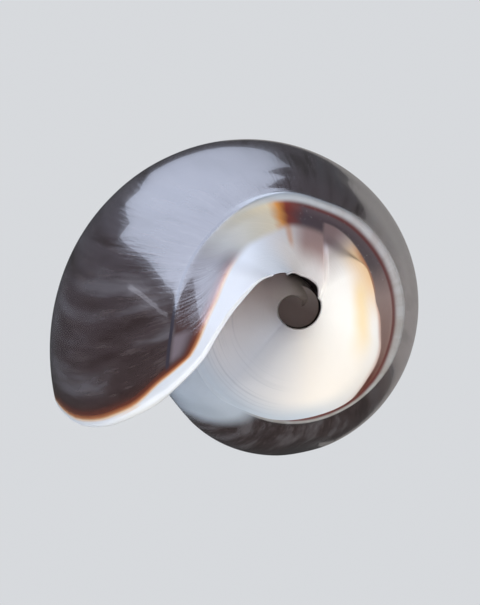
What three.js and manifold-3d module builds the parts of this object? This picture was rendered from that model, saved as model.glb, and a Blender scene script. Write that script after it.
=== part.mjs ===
import * as THREE from 'three';
import { mergeVertices } from 'three/addons/utils/BufferGeometryUtils.js';
import Module from 'manifold-3d';

const wasm = await Module();
wasm.setup();

// Coil in millimetres: every turn repeats the last one, smaller, about the apex.
const LENGTH = 34; // apex pole to the foremost point the coil would reach
const RADIUS = 11.5; // axis to the widest part of the lip
const GROWTH = 2.35; // enlargement in one turn
const LIP_ANGLE = 210.8; // degrees, seen from the front end

// Half section of the last turn from suture to front tip, as shares of RADIUS and LENGTH.
const SECTION = [
  [0.41, 0.172],
  [0.655, 0.25],
  [0.885, 0.365],
  [1.0, 0.51],
  [0.945, 0.67],
  [0.8, 0.8],
  [0.62, 0.9],
  [0.38, 0.965],
  [0.12, 1.0],
];
const TIP = SECTION.length - 1; // station of the front tip

// Wall of the last turn.
const LIP_WALL = 0.8;
const FRONT_WALL = 1.3;

// Edge of the mouth, [station, turns behind the lip]: a rounded lip, then the notch winds to the columella.
const MARGIN = [
  [0, 0.03], [2, 0.04], [3, 0.026], [3.8, 0.006], [4.4, -0.001], [5.1, -0.003], [5.5, -0.001],
  [5.94, 0.005], [6.28, 0.014], [6.58, 0.032], [6.87, 0.056], [7.22, 0.091], [7.5, 0.13],
  [7.75, 0.161], [8, 0.207],
];
const NOTCH_THINNING = 0.62; // share of the wall lost towards the edge of the notch

// Spiral ridge above the front band, and the outer edge of the callus, [turn, station].
const RIDGE = [
  [0, 5.6], [0.06, 6], [0.12, 6.16], [0.2, 6.28], [0.3, 6.31], [0.36, 6.38], [0.42, 6.26],
  [0.475, 6.13], [0.525, 5.93], [0.59, 5.57], [0.645, 5.3], [0.7, 5.23], [0.8, 5.16], [1.1, 5.05],
];
const CALLUS = [
  [0, 6.87], [0.44, 6.85], [0.49, 6.78], [0.568, 6.65], [0.6, 6.45], [0.631, 6.2], [0.65, 5.95],
  [0.681, 5.65], [0.731, 5.42], [0.79, 5.35], [0.853, 5.27], [1.1, 5.2],
];
// Fold at which the callus begins beside the hollow, [station, turn].
const FOLD = [[6, 0.36], [6.89, 0.38], [7.22, 0.396], [7.57, 0.425], [7.92, 0.482], [8, 0.52]];
const FOLD_WIDTH = 0.09; // turns
const RIDGE_HEIGHT = 0.3;
const RIDGE_WIDTH = 0.14; // in stations
const VALLEY_DEPTH = 0.16;
const CALLUS_HEIGHT = 0.45;
const INNER_LIP_TURN = 0.96; // where the callus edge runs along the body, beside the mouth

// Front end: it is drawn forwards and leans, so that its own axis runs aslant to the coil's.
const FRONT_RISE = 4;
const FRONT_LEVEL = 22; // reach at which the two axes are nearest
const FRONT_SHIFT = [-0.146, 0.352]; // across and up, at that level
const FRONT_LEAN = [-0.145, -0.079]; // for each millimetre of reach

// Columella: a pillar with a hollow into which the windings turn like a stair, by [turn, millimetres]:
// radius of the hollow, lift of the stair, and how far the columella draws in beside it.
const HOLLOW = [
  [0.2, 1.78], [0.26, 1.53], [0.33, 1.33], [0.43, 1.33], [0.46, 1.29], [0.5, 1.12], [0.55, 0.98],
  [0.85, 0.98], [1, 0.95], [1.1, 0.82], [1.2, 0.62], [1.35, 0.38], [1.5, 0.2], [1.8, 0.06], [2, 0.05],
];
const RAMP = [[0.95, 0], [1.2, 1], [1.35, 1.8], [1.5, 2.4], [1.75, 3.4], [2, 3.5]];
const WAIST = [[1.2, 0], [1.36, 0.16], [1.45, 0.2], [1.56, 0.06], [1.7, 0]];
const HOLLOW_FLOOR = 13;
const PILLAR_RADIUS = 1.9;
const PILLAR_NECK = 2; // from the rim of the hollow down to the pillar
const PILLAR_FOOT = 8;
const PILLAR_COVER = 0.1; // least wall over the pillar where the windings are small

// Mesh lines along the coil, by number from the suture to the front tip.
const OUTER_LINES = [
  0, 0.5, 1, 1.5, 2, 2.6, 3.2, 3.8, 4.4, 5, 5.5, 5.8, 5.92, 6, 6.08, 6.25,
  6.42, 6.5, 6.58, 6.8, 7.05, 7.3, 7.55, 7.75, 7.88, 7.95, 8,
];
const INNER_LINES = [
  8, 7.95, 7.88, 7.7, 7.4, 7.2, 7.05, 6.8, 6.5, 6, 5.5, 5, 4.4, 3.8, 3.2, 2.6, 2, 1.4, 0.9,
];
const CORE_LINES = [
  0, 0.5, 1, 1.5, 2, 2.6, 3.2, 3.8, 4.4, 5, 5.5, 5.9, 6.3, 6.7, 7.1, 7.5, 7.8, 8,
];
const SPIRE_LINES = [0, 0.5, 1, 1.5, 2, 2.6, 3.2, 4, 5];
const APEX_LINES = [0, 1, 2, 3, 5];
const NECK_LINE = 7.6; // nearer the tip, the inside of the wall comes down onto the pillar

// Stretches of the coil lock into each other by a short tenon.
const STRETCH = 0.97; // turns
const TENON_STEP = 0.1;
const TENON_TURN = 0.012;

// Turn of the whole shell onto its lip edge and body, in degrees, and the wear where it rests.
const REST_ROLL = 9.183;
const REST_PITCH = 7.15;
const REST_WEAR = 0.15;

const { clamp, degToRad, lerp, smoothstep } = THREE.MathUtils;

const section = new THREE.SplineCurve(
  SECTION.map(([r, h]) => new THREE.Vector2(r * RADIUS, h * LENGTH)),
);

const scaleAt = (turn) => GROWTH ** -turn;

/** Smooth curve without overshoot through [x, y] points of rising x. */
function through(table, x) {
  const last = table.length - 2;
  const slopes = table.slice(1).map(([x1, y1], i) => (y1 - table[i][1]) / (x1 - table[i][0]));
  const tangent = (i) => {
    if (i === 0 || i > last) return slopes[Math.min(i, last)];
    const [a, b] = [slopes[i - 1], slopes[i]];
    return a * b > 0 ? (2 * a * b) / (a + b) : 0;
  };
  const at = clamp(x, table[0][0], table[last + 1][0]);
  const i = clamp(table.findLastIndex(([edge]) => edge <= at), 0, last);
  const [[x0, y0], [x1, y1]] = [table[i], table[i + 1]];
  const u = (at - x0) / (x1 - x0);
  return y0 * (1 + 2 * u) * (1 - u) ** 2 + y1 * u ** 2 * (3 - 2 * u)
    + (x1 - x0) * (tangent(i) * u * (1 - u) ** 2 + tangent(i + 1) * u ** 2 * (u - 1));
}

/** Station on the coil for a mesh line, so that lines 6 and 6.5 keep to ridge and callus edge. */
function stationOf(line, turn) {
  const knots = [0, 4, through(RIDGE, turn), through(CALLUS, turn), TIP];
  const lines = [0, 4, 6, 6.5, TIP];
  const i = lines.findLastIndex((edge, k) => edge <= line && k < lines.length - 1);
  return lerp(knots[i], knots[i + 1], (line - lines[i]) / (lines[i + 1] - lines[i]));
}

/** Turns behind the lip plane at which the edge of the mouth lies, by mesh line. */
function marginTurn(line) {
  let turn = 0.05;
  for (let i = 0; i < 60; i += 1) turn = lerp(turn, through(MARGIN, stationOf(line, turn)), 0.4);
  return turn;
}

/** Share of the drift of the front end, gone again deep inside. */
function frontShare(turn) {
  return smoothstep(turn, 0.05, 0.44) - smoothstep(turn, 1.45, 2.1);
}

/** Height of the relief on the plain coil. */
function reliefAt(line, turn) {
  const station = stationOf(line, turn);
  const fade = 1 - smoothstep(turn, 0.78, 0.92);
  const ridge = (0.1 + 0.9 * smoothstep(turn, 0.16, 0.34))
    * Math.exp(-(((station - through(RIDGE, turn)) / RIDGE_WIDTH) ** 2));
  const valley = smoothstep(line, 6, 6.25) * (1 - smoothstep(line, 6.4, 7.2))
    * (0.4 + 0.6 * smoothstep(turn, 0.2, 0.34));
  const behind = turn - through(FOLD, station);
  const slope = 0.9 - 0.8 * smoothstep(behind, 0, 0.24);
  const front = smoothstep((line - 6.44) / slope, 0, 1) * smoothstep(behind, 0, FOLD_WIDTH);
  const edge = INNER_LIP_TURN - 0.08 * smoothstep(station, 3, 5.2);
  const inner = smoothstep(turn, edge, edge + 0.08) * smoothstep(line, 1.6, 2.4);
  return fade * (RIDGE_HEIGHT * ridge - VALLEY_DEPTH * valley) + CALLUS_HEIGHT * Math.max(front, inner);
}

/** Point [r, h, share] of the half section on a mesh line, sunk by depth below the relief. */
function sectionPoint(line, turn, depth = 0) {
  const station = stationOf(line, turn);
  const scale = scaleAt(turn);
  const at = section.getPoint(station / TIP);
  const along = section.getTangent(station / TIP);
  const lift = reliefAt(line, turn) * Math.min(1, scale * 1.5) - depth;
  const widen = through(HOLLOW, turn) - SECTION[TIP][0] * RADIUS * scale;
  const waist = through(WAIST, turn) * smoothstep(station, 4.5, 6.5) * (1 - smoothstep(station, 7.2, TIP));
  const share = frontShare(turn);
  const rise = FRONT_RISE * share * smoothstep(station, 4, TIP)
    + through(RAMP, turn) * smoothstep(station, 5.5, TIP);
  return [
    at.x * scale + along.y * lift + widen * smoothstep(station, 5.4, TIP) ** 3 - waist,
    at.y * scale - along.x * lift + rise,
    share * smoothstep(station, 4.6, 7.6),
  ];
}

/**
 * Place [r, h, share] at an angle; seen from the front, growth runs counter-clockwise.
 * A fourth value is the reach of a rim above, under which the point lies on the front end's own axis.
 */
function place([r, h, share = 0, rim = h], turn) {
  const angle = degToRad(LIP_ANGLE) - 2 * Math.PI * turn;
  const [across, up] = FRONT_LEAN.map((lean, i) => (
    share * (FRONT_SHIFT[i] + lean * (rim - FRONT_LEVEL)) + lean * (h - rim)
  ));
  return [r * Math.cos(angle) + across, -h, r * Math.sin(angle) + up];
}

/** Draw a closed outline of [r, h] points inwards. */
function inset(outline, distance) {
  const area = THREE.ShapeUtils.area(outline.map(([r, h]) => new THREE.Vector2(r, h)));
  const count = outline.length;
  return outline.map(([r, h, ...rest], j) => {
    const [r0, h0] = outline[(j + count - 1) % count];
    const [r1, h1] = outline[(j + 1) % count];
    const reach = (Math.sign(area) * distance) / Math.hypot(r1 - r0, h1 - h0);
    return [r - (h1 - h0) * reach, h + (r1 - r0) * reach, ...rest];
  });
}

/**
 * Sweep a closed half section between two turns.
 * Members are { at(turn) } with an optional begin turn, or { axis } for a point on the axis,
 * with a share of 1 where that is the front end's own axis.
 * A tenon reaches back from the first section, a little thinner, to lock into the next stretch.
 */
function sweep(members, from, to, rows, tenon = true) {
  const sectionAt = (turn) => members.map(({ axis, share, begin = from, at }) => (
    axis === undefined ? at(Math.max(turn, begin)) : [0, axis, share]
  ));
  const capOf = (outline) => (
    THREE.ShapeUtils.triangulateShape(outline.map(([r, h]) => new THREE.Vector2(r, h)), [])
  );
  const first = tenon ? inset(sectionAt(from), TENON_STEP * scaleAt(from)) : [];
  const points = [];
  const index = members.map((member, j) => {
    if (member.axis !== undefined) {
      points.push(place([0, member.axis, member.share], from));
      return new Array(rows + 1 + Number(tenon)).fill(points.length - 1);
    }
    const begin = tenon ? from + TENON_TURN : (member.begin ?? from);
    const line = Array.from({ length: rows + 1 }, (_, i) => {
      const turn = lerp(begin, to, i / rows);
      return place(member.at(turn), turn);
    });
    if (tenon) line.unshift(place(first[j], from - TENON_TURN));
    return line.map((point) => points.push(point) - 1);
  });
  const faces = [];
  const add = (a, b, c) => {
    if (a !== b && b !== c && c !== a) faces.push(a, b, c);
  };
  const span = (a, b) => Math.hypot(...points[a].map((x, axis) => x - points[b][axis]));
  const last = index[0].length - 1;
  index.forEach((line, j) => {
    const next = index[(j + 1) % index.length];
    for (let i = 0; i < last; i += 1) {
      const [a, b, c, d] = [line[i], next[i], next[i + 1], line[i + 1]];
      const split = span(a, c) < span(b, d) ? [a, b, c, a, c, d] : [a, b, d, b, c, d];
      add(...split.slice(0, 3));
      add(...split.slice(3));
    }
  });
  for (const [a, b, c] of capOf(sectionAt(to))) add(index[a][last], index[b][last], index[c][last]);
  for (const [a, b, c] of capOf(sectionAt(from))) add(index[a][0], index[c][0], index[b][0]);
  return solid(points.flat(), faces);
}

function solid(positions, faces) {
  return new wasm.Manifold(new wasm.Mesh({
    numProp: 3,
    vertProperties: new Float32Array(positions),
    triVerts: new Uint32Array(faces),
  }));
}

const solidOf = (shape) => solid(shape.attributes.position.array, shape.index.array);

function geometryOf(body) {
  const mesh = body.getMesh();
  const shape = new THREE.BufferGeometry();
  shape.setAttribute('position', new THREE.BufferAttribute(new Float32Array(mesh.vertProperties), 3));
  shape.setIndex(new THREE.BufferAttribute(new Uint32Array(mesh.triVerts), 1));
  return shape;
}

/** Point on the inside of the wall; towards the tip it comes down onto the pillar. */
function insidePoint(line, turn, margin) {
  const notch = NOTCH_THINNING * smoothstep(line, 6.2, 7.2) * (1 - smoothstep(turn - margin, 0, 0.14));
  const scale = Math.max(0.6, scaleAt(turn)) * (1 - notch);
  const base = Math.min(line, NECK_LINE);
  const depth = lerp(LIP_WALL, FRONT_WALL, smoothstep(base, 4, 7)) * scale;
  const [r, h, share] = sectionPoint(base, turn, depth);
  const [skin] = sectionPoint(base, turn);
  const pillar = Math.min(PILLAR_RADIUS + 0.15 * (NECK_LINE + 0.1 - base), skin - PILLAR_COVER);
  const flesh = [Math.max(r, pillar), h, share];
  const [, front, drift] = sectionPoint(TIP, turn);
  const top = [PILLAR_RADIUS, front - PILLAR_NECK * scale, drift];
  return flesh.map((x, i) => lerp(x, top[i], smoothstep(line, 6.9, TIP)));
}

/** Point in the hollow under the front tip, on a share of its radius and at a reach. */
function hollowPoint(turn, shrink, reach) {
  const [r, h, share] = sectionPoint(TIP, turn);
  return [r * shrink, Math.min(reach, h - 0.1), share, h];
}

/** Wall of the last turn, with the pillar and its hollow behind the notch. */
function wall(to, rows) {
  const outer = OUTER_LINES.map((line) => ({
    begin: marginTurn(line),
    at: (turn) => sectionPoint(line, turn),
  }));
  const inner = INNER_LINES.map((line) => {
    const begin = marginTurn(line);
    return { begin, at: (turn) => insidePoint(line, turn, begin) };
  });
  const begin = marginTurn(TIP);
  const columella = [
    { begin, at: (turn) => hollowPoint(turn, 0.95, sectionPoint(TIP, turn)[1] - 0.3) },
    { begin, at: (turn) => hollowPoint(turn, 0.93, HOLLOW_FLOOR + 0.2) },
    { axis: HOLLOW_FLOOR, share: 1 },
    { axis: PILLAR_FOOT, share: 1 },
    { begin, at: (turn) => [PILLAR_RADIUS, ...hollowPoint(turn, 1, PILLAR_FOOT).slice(1)] },
  ];
  const root = { at: (turn) => [0.33 * RADIUS * scaleAt(turn), 0.21 * LENGTH * scaleAt(turn)] };
  return sweep([...outer, ...columella, ...inner, root], 0, to, rows, false);
}

/** A filled stretch of an earlier turn. */
function core(lines, from, rows, hollow = []) {
  const to = from + STRETCH;
  const outer = lines.map((line) => ({ at: (turn) => sectionPoint(line, turn) }));
  const foot = SECTION[0][1] * LENGTH * scaleAt(to);
  const crown = hollow.length ? [] : [{ axis: sectionPoint(lines.at(-1), to)[1] * 1.4 }];
  return sweep([...outer, ...hollow, ...crown, { axis: foot }], from, to, rows);
}

const stair = [
  { at: (turn) => hollowPoint(turn, 0.9, HOLLOW_FLOOR - 0.5) },
  { axis: HOLLOW_FLOOR - 1.5, share: 1 },
];
const shell = wall(STRETCH, 46)
  .add(core(CORE_LINES, STRETCH, 40, stair))
  .add(core(SPIRE_LINES, 2 * STRETCH, 32))
  .add(core(SPIRE_LINES, 3 * STRETCH, 22))
  .add(core(APEX_LINES, 4 * STRETCH, 12));

const resting = geometryOf(shell);
resting.rotateY(degToRad(REST_ROLL));
resting.rotateX(degToRad(REST_PITCH));
resting.computeBoundingBox();
const box = resting.boundingBox;
resting.translate(
  -(box.min.x + box.max.x) / 2,
  -(box.min.y + box.max.y) / 2,
  -box.min.z - REST_WEAR,
);
const room = mergeVertices(new THREE.BoxGeometry(2 * LENGTH, 2 * LENGTH, LENGTH)
  .deleteAttribute('normal').deleteAttribute('uv').translate(0, 0, LENGTH / 2));
const geometry = geometryOf(solidOf(resting).intersect(solidOf(room)));
geometry.computeVertexNormals();

const shellMesh = new THREE.Mesh(
  geometry,
  new THREE.MeshStandardMaterial({ color: 0x4f4640, roughness: 0.3, metalness: 0 }),
);
shellMesh.name = 'shell';

const part = new THREE.Group();
part.name = 'olive_shell';
part.add(shellMesh);

export default part;
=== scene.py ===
"""Olive shell: a smooth, glossy shell with its callus and lip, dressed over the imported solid."""

import logging
import math
from dataclasses import dataclass, field
from enum import Enum

import bmesh
import bpy
import numpy as np
from mathutils import Matrix, Vector

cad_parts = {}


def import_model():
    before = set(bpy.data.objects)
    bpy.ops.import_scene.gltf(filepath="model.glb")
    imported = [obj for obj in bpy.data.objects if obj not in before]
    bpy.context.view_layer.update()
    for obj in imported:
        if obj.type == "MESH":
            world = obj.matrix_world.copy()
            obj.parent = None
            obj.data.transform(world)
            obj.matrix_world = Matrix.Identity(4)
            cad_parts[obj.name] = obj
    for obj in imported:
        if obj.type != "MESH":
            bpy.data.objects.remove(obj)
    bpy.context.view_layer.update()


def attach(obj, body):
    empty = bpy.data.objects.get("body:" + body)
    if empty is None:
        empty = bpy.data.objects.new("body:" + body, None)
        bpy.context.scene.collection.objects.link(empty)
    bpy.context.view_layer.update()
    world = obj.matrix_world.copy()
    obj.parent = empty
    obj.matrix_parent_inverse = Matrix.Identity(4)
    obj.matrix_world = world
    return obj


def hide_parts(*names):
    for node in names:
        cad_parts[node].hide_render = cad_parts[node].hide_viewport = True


LOG = logging.getLogger("olive_shell")
MM = 0.001
# Mesh lines are stations up to PLAIN_LINE. Further on, two of them keep to the ridge and to the callus edge.
PLAIN_LINE, RIDGE_LINE, CALLUS_LINE = 4.0, 6.0, 6.5
# Height of the ceiling lights in metres, and their turn in degrees.
CEILING, CEILING_SPIN = 0.22, 65.8
Array = np.ndarray
Floats = tuple[float, ...]
Span = tuple[float, float]
Spot = tuple[float, float, float]
Thing = bpy.types.Object
Socket = bpy.types.NodeSocket


class CoilMap(Enum):
    """UV maps that carry the place on the coil."""

    COIL = "coil"
    EDGE = "edge"
    FRONT = "front"
    RIND = "rind"


def ease(x: Array | float, low: float, high: float) -> Array:
    """Smooth step from 0 at low to 1 at high."""
    s = np.clip((np.asarray(x, float) - low) / (high - low), 0.0, 1.0)
    return s * s * (3 - 2 * s)


def smooth_through(x: Array, places: Floats, values: Floats) -> Array:
    """Smooth curve without overshoot through values at rising places.

    Args:
        x: where to read the curve.
        places: rising positions.
        values: one value per place.

    Returns:
        Values at x, of the same shape.
    """
    at, value = np.array(places, float), np.array(values, float)
    step, rise = np.diff(at), np.diff(value)
    slope = rise / step
    tangent = np.concatenate([slope[:1], np.zeros(len(at) - 2), slope[-1:]])
    same = slope[1:] * slope[:-1] > 0
    both = slope[1:] + slope[:-1]
    tangent[1:-1][same] = (2 * slope[1:] * slope[:-1])[same] / both[same]
    x = np.clip(np.asarray(x, float), at[0], at[-1])
    i = np.clip(np.searchsorted(at, x, side="right") - 1, 0, len(at) - 2)
    u = (x - at[i]) / step[i]
    return (
        value[i] * (1 + 2 * u) * (1 - u) ** 2
        + value[i + 1] * u**2 * (3 - 2 * u)
        + step[i] * (tangent[i] * u * (1 - u) ** 2 + tangent[i + 1] * u**2 * (u - 1))
    )


class SmoothCurve:
    """Natural cubic spline through points at whole-numbered stations."""

    def __init__(self, points: Array) -> None:
        """Solve the spline.

        Args:
            points: one row per station.
        """
        self.points = np.asarray(points, float)
        count = len(self.points)
        matrix = np.eye(count)
        right = np.zeros_like(self.points)
        for i in range(1, count - 1):
            matrix[i, i - 1 : i + 2] = 1, 4, 1
            right[i] = 6 * (self.points[i - 1] - 2 * self.points[i] + self.points[i + 1])
        self.bend = np.linalg.solve(matrix, right)

    def at(self, station: Array) -> tuple[Array, Array]:
        """Point and unit tangent at each station.

        Args:
            station: positions along the curve.

        Returns:
            Points and unit tangents, with a last axis of the points' size.
        """
        last = len(self.points) - 2
        i = np.clip(np.floor(station).astype(int), 0, last)
        b = (station - i)[..., None]
        a = 1 - b
        p0, p1, m0, m1 = self.points[i], self.points[i + 1], self.bend[i], self.bend[i + 1]
        point = a * p0 + b * p1 + ((a**3 - a) * m0 + (b**3 - b) * m1) / 6
        slope = p1 - p0 + ((1 - 3 * a**2) * m0 + (3 * b**2 - 1) * m1) / 6
        return point, slope / np.linalg.norm(slope, axis=-1, keepdims=True)


@dataclass(frozen=True)
class Coil:
    """Form of the shell: every turn repeats the last one, smaller, about the apex.

    Lengths are millimetres. Turns count back from the lip. Stations run from 0 at the suture to 8 at the
    front tip.
    """

    length: float = 34.0
    radius: float = 11.5
    growth: float = 2.35
    lip_angle: float = 210.8
    section: tuple[Span, ...] = (
        (0.41, 0.172),
        (0.655, 0.25),
        (0.885, 0.365),
        (1.0, 0.51),
        (0.945, 0.67),
        (0.8, 0.8),
        (0.62, 0.9),
        (0.38, 0.965),
        (0.12, 1.0),
    )
    margin_stations: Floats = (
        0, 2, 3, 3.8, 4.4, 5.1, 5.5, 5.94, 6.28, 6.58, 6.87, 7.22, 7.5, 7.75, 8.0,
    )
    margin_turns: Floats = (
        0.03, 0.04, 0.026, 0.006, -0.001, -0.003, -0.001, 0.005,
        0.014, 0.032, 0.056, 0.091, 0.13, 0.161, 0.207,
    )
    ridge_turns: Floats = (
        0, 0.06, 0.12, 0.2, 0.3, 0.36, 0.42, 0.475, 0.525, 0.59, 0.645, 0.7, 0.8, 0.9, 1.1,
    )
    ridge_stations: Floats = (
        5.6, 6.0, 6.16, 6.28, 6.31, 6.38, 6.26, 6.13, 5.93, 5.57, 5.3, 5.23, 5.16, 5.1, 5.05,
    )
    callus_turns: Floats = (
        0, 0.44, 0.49, 0.568, 0.6, 0.631, 0.65, 0.681, 0.731, 0.79, 0.853, 1.1,
    )
    callus_stations: Floats = (
        6.87, 6.85, 6.78, 6.65, 6.45, 6.2, 5.95, 5.65, 5.42, 5.35, 5.27, 5.2,
    )
    fold_stations: Floats = (6.0, 6.89, 7.22, 7.57, 7.92, 8.0)
    fold_turns: Floats = (0.36, 0.38, 0.396, 0.425, 0.482, 0.52)
    hollow_turns: Floats = (
        0.2, 0.26, 0.33, 0.43, 0.46, 0.5, 0.55, 0.85, 1.0, 1.1, 1.2, 1.35, 1.5, 1.8, 2.0,
    )
    hollow_radii: Floats = (
        1.78, 1.53, 1.33, 1.33, 1.29, 1.12, 0.98, 0.98, 0.95, 0.82, 0.62, 0.38, 0.2, 0.06, 0.05,
    )
    ramp_turns: Floats = (0.95, 1.2, 1.35, 1.5, 1.75, 2.0)
    ramp_rises: Floats = (0.0, 1.0, 1.8, 2.4, 3.4, 3.5)
    waist_turns: Floats = (1.2, 1.36, 1.45, 1.56, 1.7)
    waist_depths: Floats = (0.0, 0.16, 0.2, 0.06, 0.0)
    ridge_height: float = 0.3
    ridge_width: float = 0.14
    valley_depth: float = 0.16
    callus_height: float = 0.45
    inner_lip_turn: float = 0.96
    front_rise: float = 4.0
    front_lean: Span = (-0.145, -0.079)
    front_shift: Span = (-0.146, 0.352)
    front_level: float = 22.0
    hollow_floor: float = 15.55
    pillar_radius: float = 1.9
    pillar_cover: float = 0.1
    pillar_neck: float = 2.0
    pillar_foot: float = 8.0
    neck_line: float = 7.6
    white_lip: float = 0.006
    white_lip_gain: float = 0.006
    white_lip_lines: Span = (5.0, 6.0)
    white_step: float = 0.25
    fringe_step: float = 0.0105
    fringe_range: Span = (-8.0, 3.0)
    rim_steps: float = 3.0
    rim_whitens: Span = (0.0, 0.12)
    rind_turns: Floats = (0.3, 0.4, 0.424, 0.485, 0.546, 0.609, 0.645, 0.686, 0.728, 0.764, 0.85)
    rind_lines: Floats = (6.4, 6.29, 6.3, 6.36, 6.4, 6.52, 6.56, 6.6, 6.5, 6.42, 6.4)
    white_turns: Floats = (
        -0.02, 0.004, 0.0095, 0.014, 0.023, 0.035, 0.05, 0.069, 0.084, 0.11, 0.137, 0.162, 0.188, 0.231, 0.4,
    )
    white_stations: Floats = (
        4.0, 5.2, 5.68, 5.97, 6.21, 6.39, 6.53, 6.67, 6.76, 6.85, 6.92, 6.98, 7.01, 7.07, 7.07,
    )
    lip_wall: float = 0.8
    front_wall: float = 1.3
    tip: float = 8.0
    margin_guess: float = 0.05
    margin_rounds: int = 60
    margin_pull: float = 0.4
    relief_end: Span = (0.78, 0.92)
    relief_keep: float = 1.5
    ridge_least: float = 0.1
    ridge_start: Span = (0.16, 0.34)
    valley_least: float = 0.4
    valley_start: Span = (0.2, 0.34)
    valley_near: Span = (6.0, 6.25)
    valley_far: Span = (6.4, 7.2)
    callus_foot: float = 6.44
    callus_steep: float = 0.06
    callus_gentle: float = 0.9
    callus_settles: float = 0.13
    fold_width: float = 0.016
    fold_widening: float = 0.02
    fold_widens: float = 7.7
    inner_lip_slope: float = 0.08
    inner_lip_lean: float = 0.08
    inner_lip_leans: Span = (3.0, 5.2)
    inner_lip_lines: Span = (1.6, 2.4)
    drift_start: Span = (0.05, 0.44)
    drift_end: Span = (1.45, 2.1)
    drift_stations: Span = (4.6, 7.6)
    rise_from: float = 4.0
    ramp_from: float = 5.5
    hollow_from: float = 5.4
    waist_start: Span = (4.5, 6.5)
    waist_ends: float = 7.2
    least_wall: float = 0.6
    wall_stations: Span = (4.0, 7.0)
    pillar_flare: float = 0.15
    pillar_lead: float = 0.1
    pillar_from: float = 6.9
    pillar_delay: float = 0.8
    curve: SmoothCurve = field(init=False, repr=False, compare=False)

    def __post_init__(self) -> None:
        """Lay the half section as a smooth curve."""
        shares = np.array(self.section) * (self.radius, self.length)
        object.__setattr__(self, "curve", SmoothCurve(shares))

    def scale(self, turn: Array) -> Array:
        """Size of the coil at a turn, 1 at the lip."""
        return self.growth ** -np.asarray(turn, float)

    def ridge_station(self, turn: Array) -> Array:
        """Station of the spiral ridge."""
        return smooth_through(turn, self.ridge_turns, self.ridge_stations)

    def callus_station(self, turn: Array) -> Array:
        """Station of the outer edge of the callus."""
        return smooth_through(turn, self.callus_turns, self.callus_stations)

    def station(self, line: Array, turn: Array) -> Array:
        """Station of a mesh line, so that two lines keep to the ridge and the callus edge.

        Args:
            line: mesh line numbers.
            turn: turns behind the lip, of the same shape.

        Returns:
            Stations, of the same shape.
        """
        ridge, callus = self.ridge_station(turn), self.callus_station(turn)
        back = PLAIN_LINE + (ridge - PLAIN_LINE) * (line - PLAIN_LINE) / (RIDGE_LINE - PLAIN_LINE)
        band = ridge + (callus - ridge) * (line - RIDGE_LINE) / (CALLUS_LINE - RIDGE_LINE)
        front = callus + (self.tip - callus) * (line - CALLUS_LINE) / (self.tip - CALLUS_LINE)
        parts = [line <= PLAIN_LINE, line <= RIDGE_LINE, line <= CALLUS_LINE]
        return np.select(parts, [line, back, band], front)

    def margin_at(self, station: Array) -> Array:
        """Turns behind the lip plane at which the edge of the mouth lies, by station."""
        return smooth_through(station, self.margin_stations, self.margin_turns)

    def margin(self, line: Array) -> Array:
        """Turns behind the lip plane at which the edge of the mouth lies, by mesh line.

        Args:
            line: mesh line numbers.

        Returns:
            Turns, of the same shape.
        """
        turn = np.full_like(line, self.margin_guess)
        for _ in range(self.margin_rounds):
            edge = self.margin_at(self.station(line, turn))
            turn = (1 - self.margin_pull) * turn + self.margin_pull * edge
        return turn

    def inner_lip(self, station: Array) -> Array:
        """Turn at which the callus of the inner lip begins on the body, by station."""
        return self.inner_lip_turn - self.inner_lip_lean * ease(station, *self.inner_lip_leans)

    def relief(self, line: Array, turn: Array) -> Array:
        """Height of ridge, valley and callus above the plain coil.

        Args:
            line: mesh line numbers.
            turn: turns behind the lip, of the same shape.

        Returns:
            Heights, of the same shape.
        """
        station = self.station(line, turn)
        fade = 1 - ease(turn, *self.relief_end)
        off = station - self.ridge_station(turn)
        grown = self.ridge_least + (1 - self.ridge_least) * ease(turn, *self.ridge_start)
        cord = self.ridge_height * grown * np.exp(-((off / self.ridge_width) ** 2))
        sunken = self.valley_least + (1 - self.valley_least) * ease(turn, *self.valley_start)
        valley = ease(line, *self.valley_near) * (1 - ease(line, *self.valley_far)) * sunken
        fold = smooth_through(station, self.fold_stations, self.fold_turns)
        slope = self.callus_steep + self.callus_gentle * (1 - ease(turn - fold, 0.0, self.callus_settles))
        brink = self.fold_width + self.fold_widening * ease(station, self.fold_widens, self.tip)
        front = ease((line - self.callus_foot) / slope, 0, 1) * ease((turn - fold) / brink, 0, 1)
        inner = ease((turn - self.inner_lip(station)) / self.inner_lip_slope, 0, 1)
        inner = inner * ease(line, *self.inner_lip_lines)
        return fade * (cord - self.valley_depth * valley) + self.callus_height * np.maximum(front, inner)

    def surface(self, station: Array, turn: Array, lift: Array | float = 0.0) -> Array:
        """Radius, reach and front share of the plain coil, raised by a lift.

        Args:
            station: stations from suture to tip.
            turn: turns behind the lip, of the same shape.
            lift: height above the plain coil.

        Returns:
            Array with a last axis of radius, reach along the axis and share of the front's drift.
        """
        scale = self.scale(turn)
        at, along = self.curve.at(station)
        hollow = smooth_through(turn, self.hollow_turns, self.hollow_radii)
        widen = hollow - self.section[-1][0] * self.radius * scale
        share = ease(turn, *self.drift_start) - ease(turn, *self.drift_end)
        rise = self.front_rise * share * ease(station, self.rise_from, self.tip)
        ramp = smooth_through(turn, self.ramp_turns, self.ramp_rises)
        rise = rise + ramp * ease(station, self.ramp_from, self.tip)
        waist = smooth_through(turn, self.waist_turns, self.waist_depths)
        waist = waist * ease(station, *self.waist_start) * (1 - ease(station, self.waist_ends, self.tip))
        widen = widen * ease(station, self.hollow_from, self.tip) ** 3
        radius = at[..., 0] * scale + along[..., 1] * lift + widen - waist
        reach = at[..., 1] * scale - along[..., 0] * lift + rise
        return np.stack([radius, reach, share * ease(station, *self.drift_stations)], -1)

    def skin(self, line: Array, turn: Array, depth: Array | float = 0.0) -> Array:
        """Radius, reach and front share of the outside.

        Args:
            line: mesh line numbers.
            turn: turns behind the lip, of the same shape.
            depth: distance below the relief.

        Returns:
            Array with a last axis of radius, reach along the axis and share of the front's drift.
        """
        lift = self.relief(line, turn) * np.minimum(1, self.relief_keep * self.scale(turn)) - depth
        return self.surface(self.station(line, turn), turn, lift)

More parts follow.
